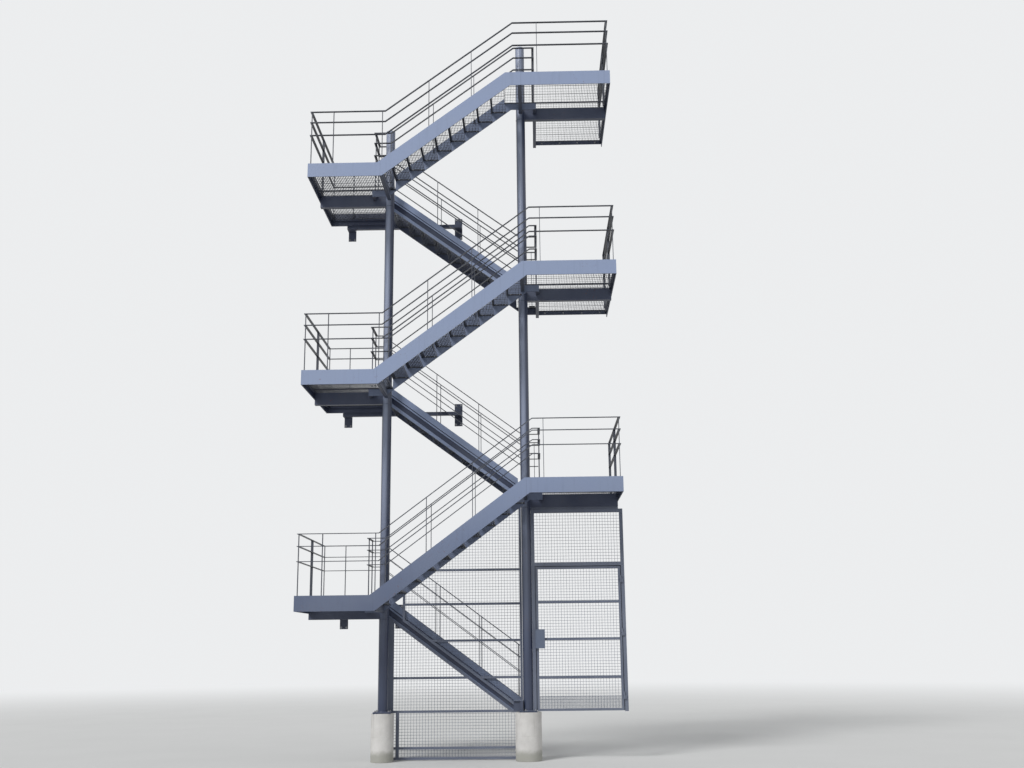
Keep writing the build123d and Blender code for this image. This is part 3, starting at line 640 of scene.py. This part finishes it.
# A tread's infill from y0 to y1, with the nosing's top edge at the origin
def treadInfill(y0, y1):
    depth = stair["going"] + stair["lap"]
    barStep = depth / treadParts["bars"]
    side = gratingBars["fine"] / 2
    thick = gratingBars["thick"]
    first = barStep / 2 - treadParts["barBack"]
    bar = addBlock(
        (first - side, y0 + thick, -stair["deck"]), (first + side, y1 - thick, -gratingBars["barDrop"]),
    )
    repeated(bar, treadParts["bars"], (barStep, 0, 0))
    gap = (y1 - y0) / treadParts["rods"]
    near, height = y0 + gap, -gratingBars["rodDrop"]
    rod = addRod(
        (treadParts["rodStart"], near, height), (depth, near, height), treadParts["rod"],
        gratingBars["rodSides"],
    )
    repeated(rod, treadParts["rods"] - 1, (0, gap, 0))
    end = treadParts["stripEnd"]
    strip = addBlock(
        (treadParts["nosing"] - treadParts["nosingLap"], y0 + end, -treadParts["stripDeep"]),
        (treadParts["strip"], y1 - end, treadParts["stripTop"]),
    )
    taperFaces(strip, downward, treadParts["stripTaper"])
    start = y0 + treadParts["ribStart"]
    rib = addBlock(
        (treadParts["ribFront"], start, -treadParts["ribSunk"]),
        (treadParts["ribBack"], start + treadParts["ribWide"], treadParts["ribTall"]),
    )
    taperFaces(rib, upward, treadParts["ribTaper"])
    count = int((y1 - y0 - treadParts["rib"]) / treadParts["rib"])
    repeated(rib, count, (0, treadParts["rib"], 0))
    return joined("tread_infill", [bar, rod, strip, rib])


# Where the nosings of a level's front and rear treads are, as x and z
def frontNosings(level):
    for step in range(stair["risers"][level] - 1):
        yield stair["nosing"] + step * stair["going"], halfDecks[level] + (step + 1) * stair["riser"]


def rearNosings(level):
    start = stair["columns"] - stair["nosing"]
    for step in range(stair["rearRisers"] - 1):
        yield start - step * stair["going"], feet[level] + (step + 1) * stair["riser"]


def makeTreadBars():
    front = treadInfill(-innerFace, -stair["well"] - stair["plate"])
    rear = treadInfill(webBack, wallWeb)
    flip = Matrix.Rotation(math.pi, 4, "Z")
    for level in storeys:
        parts = [placed(front, Matrix.Translation((x, 0, z))) for x, z in frontNosings(level)]
        handIn(f"front_flight_{level + 1}_tread_bars", parts, "grating")
        across = webBack + wallWeb
        parts = [placed(rear, Matrix.Translation((x, across, z)) @ flip) for x, z in rearNosings(level)]
        handIn(f"rear_flight_{level + 1}_tread_bars", parts, "grating")
    discard(front, rear)


makeTreadBars()
print("treads made")

# Welded mesh of the gate and screens: the wires between those that the frame has
mesh = {
    "wide": 0.10, "rows": 0.20, "up": 4, "wire": 0.0025, "sides": 6,
    "close": 0.0254, "closeRows": 0.0125, "thin": 0.0018, "proud": 0.003,
}
gate = {
    "left": 2.6245, "right": 4.120, "gap": 0.012, "bar": 0.04, "top": 3.220, "transom": 0.065,
    "header": 4.160, "kick": 0.20,
}
screen = {
    "left": 0.050, "edge": 0.15, "right": 2.390, "middle": 0.230, "foot": 0.012, "beam": 0.895,
    "bar": 0.04, "apex": 0.30, "over": 0.137, "rise": 0.10, "close": 0.185,
}


def wireField(x0, x1, y, z0, z1):
    columns = round((x1 - x0) / mesh["wide"])
    rows = round((z1 - z0) / mesh["rows"])
    step = (x1 - x0) / columns
    rise = (z1 - z0) / rows
    upright = addRod((x0 + step / 2, y, z0), (x0 + step / 2, y, z1), mesh["wire"], mesh["sides"])
    repeated(upright, columns, (step, 0, 0))
    gap = rise / mesh["up"]
    level = addRod((x0, y, z0 + gap), (x1, y, z0 + gap), mesh["wire"], mesh["sides"])
    repeated(level, mesh["up"] - 1, (0, 0, gap))
    repeated(level, rows, (0, 0, rise))
    return [upright, level]


# The thin wires that stand close together along the foot of a panel
def closeWires(x0, x1, y, z0, z1):
    count = round((x1 - x0) / mesh["close"])
    step = (x1 - x0) / count
    upright = addRod((x0 + step / 2, y, z0), (x0 + step / 2, y, z1), mesh["thin"], mesh["sides"])
    return repeated(upright, count, (step, 0, 0))


def makeGateMesh():
    x0 = gate["left"] + gate["gap"] + gate["bar"]
    x1 = gate["right"] - gate["gap"] - gate["bar"]
    foot = stair["plinth"] + gate["gap"] + gate["bar"]
    parts = wireField(x0, x1, 0, foot, gate["top"] - gate["bar"])
    row = mesh["closeRows"]
    level = addRod((x0, 0, foot + row), (x1, 0, foot + row), mesh["thin"], mesh["sides"])
    repeated(level, round(gate["kick"] / row), (0, 0, row))
    uprights = closeWires(x0, x1, mesh["proud"], foot, foot + gate["kick"])
    handIn("gate_leaf_mesh", parts + [level, uprights], "gate", "gate")
    low = gate["top"] + gate["gap"] + gate["transom"]
    over = wireField(gate["left"], gate["right"], 0, low, gate["header"])
    handIn("gate_over_panel_mesh", over, "gate")


# Heights of the lines that bound the screens, offset at right angles to the pitch
def rearLine(x, offset):
    start = stair["foot"] + stair["upstand"] - stair["band"] / 2
    return start + (stair["columns"] - x + stair["kink"]) * slope + offset / math.cos(pitch)


def frontLine(x, offset):
    start = halfDecks[0] + stair["upstand"] - stair["band"] / 2
    return start + (x + stair["kink"]) * slope + offset / math.cos(pitch)


def makeUpperScreenMesh():
    band, inset = stair["band"] / 2, screen["bar"] / 2
    low = rearLine(0, band - screen["over"] + inset)
    high = frontLine(0, screen["rise"] - band - inset)
    parts = wireField(screen["left"], screen["right"], screen["middle"], screen["beam"], decks[0])
    for wires in parts:
        trimmed(wires, (0, 0, low), (-slope, 0, -1))
        trimmed(wires, (0, 0, high), (-slope, 0, 1))
        trimmed(wires, (screen["right"] - inset, 0, 0), (1, 0, 0))
        trimmed(wires, (screen["apex"] + inset, 0, 0), (-1, 0, 0))
    handIn("upper_screen_mesh", parts, "gate")


# The lower screen slopes down to the level of the base plates, and is level from there on
def makeLowerScreenMesh():
    band, inset = stair["band"] / 2, screen["bar"] / 2
    rake = inset - band
    corner = stair["columns"] + stair["kink"]
    turn = corner - (plateTop - rearLine(corner, rake)) / slope
    parts = wireField(screen["left"], screen["right"], screen["middle"], screen["foot"], halfDecks[0])
    levelParts = []
    for wires in parts:
        trimmed(wires, (0, 0, rearLine(0, rake)), (slope, 0, 1))
        trimmed(wires, (screen["edge"] - inset, 0, 0), (-1, 0, 0))
        beyond = placed(wires, Matrix.Identity(4))
        trimmed(wires, (turn, 0, 0), (1, 0, 0))
        trimmed(beyond, (turn, 0, 0), (-1, 0, 0))
        trimmed(beyond, (0, 0, plateTop - inset), (0, 0, 1))
        levelParts.append(beyond)
    close = closeWires(
        screen["edge"], screen["right"] - screen["bar"], screen["middle"] + mesh["proud"],
        screen["foot"] + screen["bar"], screen["close"],
    )
    handIn("lower_screen_mesh", parts + levelParts + [close], "gate")


makeGateMesh()
makeUpperScreenMesh()
makeLowerScreenMesh()
print("gate and screen mesh made")

# Lock box of the gate: a lip on the leaf's edge, a rimmed case, four screws and a keyhole plate
lock = {
    "node": "gate_lock_box", "lip": 0.018, "clear": 0.016, "round": 0.003, "rim": 0.007, "sunk": 0.0015,
    "inset": 0.016, "bed": 0.001, "screw": 0.0045, "screwSides": 12, "screwTop": 0.0004,
    "screwEdge": 0.0012, "screwDome": 0.0004, "keyDrop": 0.035, "plate": 0.017, "plateSides": 24,
    "plateTop": 0.0002, "hole": 0.0045, "holeEdge": 0.0005, "holeDeep": 0.004,
}


def makeLockBox():
    low, high = (Vector(corner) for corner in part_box(lock["node"]))
    lip = addBlock(low, (low.x + lock["lip"] + lock["round"], high.y - lock["clear"], high.z))
    body = addBlock((low.x + lock["lip"], low.y, low.z), high)
    insetFaces(body, forward, lock["rim"], -lock["sunk"])
    parts = [bevelled(lip, lock["round"]), bevelled(body, lock["round"] / 2)]
    bed = low.y + lock["sunk"] + lock["bed"]
    inset = lock["inset"]
    for x in (low.x + lock["lip"] + inset, high.x - inset):
        for z in (low.z + inset, high.z - inset):
            screw = addRod((x, bed, z), (x, low.y + lock["screwTop"], z), lock["screw"], lock["screwSides"])
            insetFaces(screw, forward, lock["screwEdge"], lock["screwDome"])
            parts.append(screw)
    x = low.x + lock["lip"] + lock["plate"] * 2
    z = (low.z + high.z) / 2 - lock["keyDrop"]
    plate = addRod((x, bed, z), (x, low.y + lock["plateTop"], z), lock["plate"], lock["plateSides"])
    selectFaces(plate, forward)
    bpy.ops.mesh.inset(thickness=lock["plate"] - lock["hole"], depth=0)
    bpy.ops.mesh.inset(thickness=lock["holeEdge"], depth=-lock["holeDeep"])
    doneEditing()
    piece = handIn("lock_case", parts + [plate], "lock", "gate")
    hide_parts(lock["node"])


makeLockBox()
print("lock box made")

# Plinths, cast in round forms that met at about half height
plinth = {
    "radius": {"left_plinth": 0.195, "right_plinth": 0.225}, "sides": 72, "edge": 0.008, "edgeSteps": 3,
    "edgeAngle": 60, "rings": 15, "wave": 0.004, "grain": 0.22, "seamTall": 0.006, "seamEdge": 0.001,
    "seamDeep": 0.002,
}


def makePlinth(node, x, radius):
    tall, seam, seamHalf = stair["plinth"], concrete["seam"], plinth["seamTall"] / 2
    piece = addRod((x, 0, 0), (x, 0, tall), radius - plinth["wave"] / 2, plinth["sides"])
    bevelled(piece, plinth["edge"], plinth["edgeSteps"], plinth["edgeAngle"])
    rise = tall / (plinth["rings"] + 1)
    rings = [(ring + 1) * rise for ring in range(plinth["rings"])]
    for height in rings + [seam - seamHalf, seam + seamHalf]:
        bisected(piece, (0, 0, height), (0, 0, 1))
    insetFaces(
        piece, lambda face: abs(face.center.z - seam) < seamHalf, plinth["seamEdge"], -plinth["seamDeep"],
    )
    unevenness = bpy.data.textures.new("unevenness", "CLOUDS")
    unevenness.noise_scale = plinth["grain"]
    for direction in ("X", "Y"):
        applied(
            piece, "DISPLACE", texture=unevenness, direction=direction, strength=plinth["wave"],
            texture_coords="LOCAL",
        )
    piece = handIn(f"{node}_casting", [piece], "concrete")
    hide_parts(node)


for (plinthName, plinthRadius), column in zip(plinth["radius"].items(), columnX):
    makePlinth(plinthName, column, plinthRadius)
print("plinths made")

# Hexagon bolts on washers, and nuts with studs on the base plates. Widths, heights and
# edges are shares of the hexagon's radius, the washer's height and the stud's are metres
bolt = {
    "washer": 0.0035, "washerWide": 1.65, "washerSides": 10,
    "sides": 6, "tall": 0.75, "edge": 0.12, "dome": 0.08,
    "stud": 0.012, "studWide": 0.52, "studSides": 8, "studEdge": 0.1,
}
fixings = {
    "tread": 0.0065, "bracket": 0.013, "ledger": 0.011, "anchor": 0.015,
    "bracketSide": 0.05, "bracketTop": 0.01, "bracketFoot": 0.365, "bracketY": 1.43,
    "bracketX": ((-0.93, 0.10), (-0.93, 1.20), (-0.93, 1.20)),
    "ledgerX": 2.90, "ledgerStep": 0.36, "ledgers": 4, "ledgerDrop": 0.0625,
    "leftAnchors": ((-0.115, -0.115), (-0.115, 0.115), (0.115, -0.115), (0.115, 0.115)),
    "rightAnchors": ((-0.045, -0.128), (-0.045, 0.128), (0.122, -0.115), (0.122, 0.115)),
}


# The underside of the washer is at the origin, and the bolt points up
def makeBolt(radius, stud=0.0):
    base = bolt["washer"]
    top = base + radius * bolt["tall"]
    washer = addRod((0, 0, 0), (0, 0, base), radius * bolt["washerWide"], bolt["washerSides"])
    head = addRod((0, 0, base), (0, 0, top), radius, bolt["sides"])
    insetFaces(head, upward, radius * bolt["edge"], radius * bolt["dome"])
    parts = [washer, head]
    if stud:
        shank = addRod((0, 0, top), (0, 0, top + stud), radius * bolt["studWide"], bolt["studSides"])
        insetFaces(shank, upward, radius * bolt["studEdge"], radius * bolt["studEdge"])
        parts.append(shank)
    return joined("bolt_master", parts)


# Copies of one bolt at (place, axis) pairs
def boltsAt(name, radius, spots, stud=0.0):
    master = makeBolt(radius, stud)
    parts = [placed(master, turned(place, axis)) for place, axis in spots]
    handIn(name, parts, "zinc")
    discard(master)


# Two bolts into each stringer, at a tread whose nosing is at x and z
def treadSpots(x, z, way, near, far):
    for along in treadParts["bolts"]:
        for y, axis in ((near, (0, 1, 0)), (far, (0, -1, 0))):
            yield (x + way * along, y, z - stair["deck"] / 2), axis


def makeTreadBolts():
    thick = gratingBars["thick"]
    frontSides = (thick - innerFace, -stair["well"] - stair["plate"] - thick)
    rearSides = (webBack + thick, wallWeb - thick)
    for level in storeys:
        spots = []
        for x, z in frontNosings(level):
            spots += treadSpots(x, z, 1, *frontSides)
        for x, z in rearNosings(level):
            spots += treadSpots(x, z, -1, *rearSides)
        boltsAt(f"flight_{level + 1}_tread_bolts", fixings["tread"], spots)


def makeWallBolts():
    outward = (0, -1, 0)
    spots = []
    for level, places in enumerate(fixings["bracketX"]):
        for x in places:
            for side in (-fixings["bracketSide"], fixings["bracketSide"]):
                for z in (fixings["bracketTop"], -fixings["bracketFoot"]):
                    spots.append(((x + side, fixings["bracketY"], halfDecks[level] + z), outward))
    boltsAt("wall_bracket_bolts", fixings["bracket"], spots)
    spots = []
    for top in decks:
        for index in range(fixings["ledgers"]):
            x = fixings["ledgerX"] + index * fixings["ledgerStep"]
            spots.append(((x, fixings["bracketY"], top - fixings["ledgerDrop"]), outward))
    boltsAt("wall_ledger_bolts", fixings["ledger"], spots)


def makeAnchors():
    spots = []
    for column, around in zip(columnX, (fixings["leftAnchors"], fixings["rightAnchors"])):
        spots += [((column + x, y, plateTop), (0, 0, 1)) for x, y in around]
    boltsAt("base_plate_anchors", fixings["anchor"], spots, bolt["stud"])


makeTreadBolts()
makeWallBolts()
makeAnchors()
print("bolts made")

# Weld beads round the columns, where they meet the base plates and the beams
weld = {
    "column": 0.084, "bead": 0.0055, "around": 64, "sides": 8, "ripple": 0.002, "grain": 0.012,
    "under": 0.255,
}


def makeWelds():
    ripple = bpy.data.textures.new("ripple", "CLOUDS")
    ripple.noise_scale = weld["grain"]
    parts = []
    for x, levels in zip(columnX, (halfDecks, decks)):
        for z in [plateTop] + [level - weld["under"] for level in levels]:
            clearSelection()
            bpy.ops.mesh.primitive_torus_add(
                location=(x, 0, z), major_radius=weld["column"], minor_radius=weld["bead"],
                major_segments=weld["around"], minor_segments=weld["sides"],
            )
            ring = settle(bpy.context.object)
            applied(ring, "DISPLACE", texture=ripple, strength=weld["ripple"], texture_coords="LOCAL")
            parts.append(ring)
    handIn("column_welds", parts, "rightColumn")


makeWelds()
print("welds made")

# Floor, world and lamps. Each lamp has its strength, the way it shines and its width in degrees
studio = {
    "size": 160, "middle": (1.4, 0, 0), "floor": (0.72, 0.72, 0.71, 1), "patches": (0.70, 0.70, 0.69, 1),
    "patch": 0.6, "patchEdge": (0.2, 0.8), "patchRough": 0.05, "rough": 0.85,
    "back": (0.84, 0.85, 0.86, 1), "fade": (14, 45), "sky": (0.95, 0.975, 1.0, 1),
    "skyStrength": 0.38,
    "lamps": {"key": (2.0, (0.55, 0.75, -0.75), 20), "fill": (0.25, (-0.7, 0.35, -0.35), 60)},
}


# The floor fades into the backdrop's colour far from the stair
def makeFloor():
    clearSelection()
    bpy.ops.mesh.primitive_plane_add(size=studio["size"], location=studio["middle"])
    floor = settle(bpy.context.object)
    floor.name = "studio_floor"
    paint = Paint("studio_floor")
    span = paint.node("ShaderNodeVectorMath", {"operation": "LENGTH"}, {0: paint.place}, "Value")
    tone = paint.noise(studio["patch"], 3).between(*studio["patchEdge"])
    colour = paint.blend(tone, studio["floor"], studio["patches"])
    paint.finish(colour, tone * studio["patchRough"] + studio["rough"])
    glow = paint.node("ShaderNodeEmission", None, {"Color": studio["back"], "Strength": 1.0})
    surface = Term(paint, paint.shader.outputs[0])
    shown = paint.node("ShaderNodeMixShader", None, {0: span.between(*studio["fade"]), 1: surface, 2: glow})
    paint.feed(paint.tree.nodes["Material Output"].inputs["Surface"], shown)
    floor.data.materials.append(paint.material)


# The sky lights the stair evenly, and the camera, gloss and glass see the backdrop instead
def makeWorld():
    world = bpy.data.worlds.new("studio")
    bpy.context.scene.world = world
    world.use_nodes = True
    nodes, links = world.node_tree.nodes, world.node_tree.links
    nodes.clear()
    rays = nodes.new("ShaderNodeLightPath")
    seenBy = rays.outputs["Is Camera Ray"]
    for other in ("Is Glossy Ray", "Is Transmission Ray"):
        either = nodes.new("ShaderNodeMath")
        either.operation = "MAXIMUM"
        links.new(seenBy, either.inputs[0])
        links.new(rays.outputs[other], either.inputs[1])
        seenBy = either.outputs[0]
    shown = nodes.new("ShaderNodeMixShader")
    links.new(seenBy, shown.inputs[0])
    backgrounds = ((studio["sky"], studio["skyStrength"]), (studio["back"], 1.0))
    for index, (colour, strength) in enumerate(backgrounds):
        light = nodes.new("ShaderNodeBackground")
        light.inputs["Color"].default_value = colour
        light.inputs["Strength"].default_value = strength
        links.new(light.outputs[0], shown.inputs[index + 1])
    output = nodes.new("ShaderNodeOutputWorld")
    links.new(shown.outputs[0], output.inputs[0])


def makeLamps():
    for name, (strength, aim, width) in studio["lamps"].items():
        lamp = bpy.data.lights.new(name, "SUN")
        lamp.energy = strength
        lamp.angle = math.radians(width)
        holder = bpy.data.objects.new(name, lamp)
        holder.rotation_euler = Vector(aim).to_track_quat("-Z", "Y").to_euler()
        bpy.context.scene.collection.objects.link(holder)


makeFloor()
makeWorld()
makeLamps()
bpy.context.scene.view_settings.view_transform = "Standard"
print("studio made")
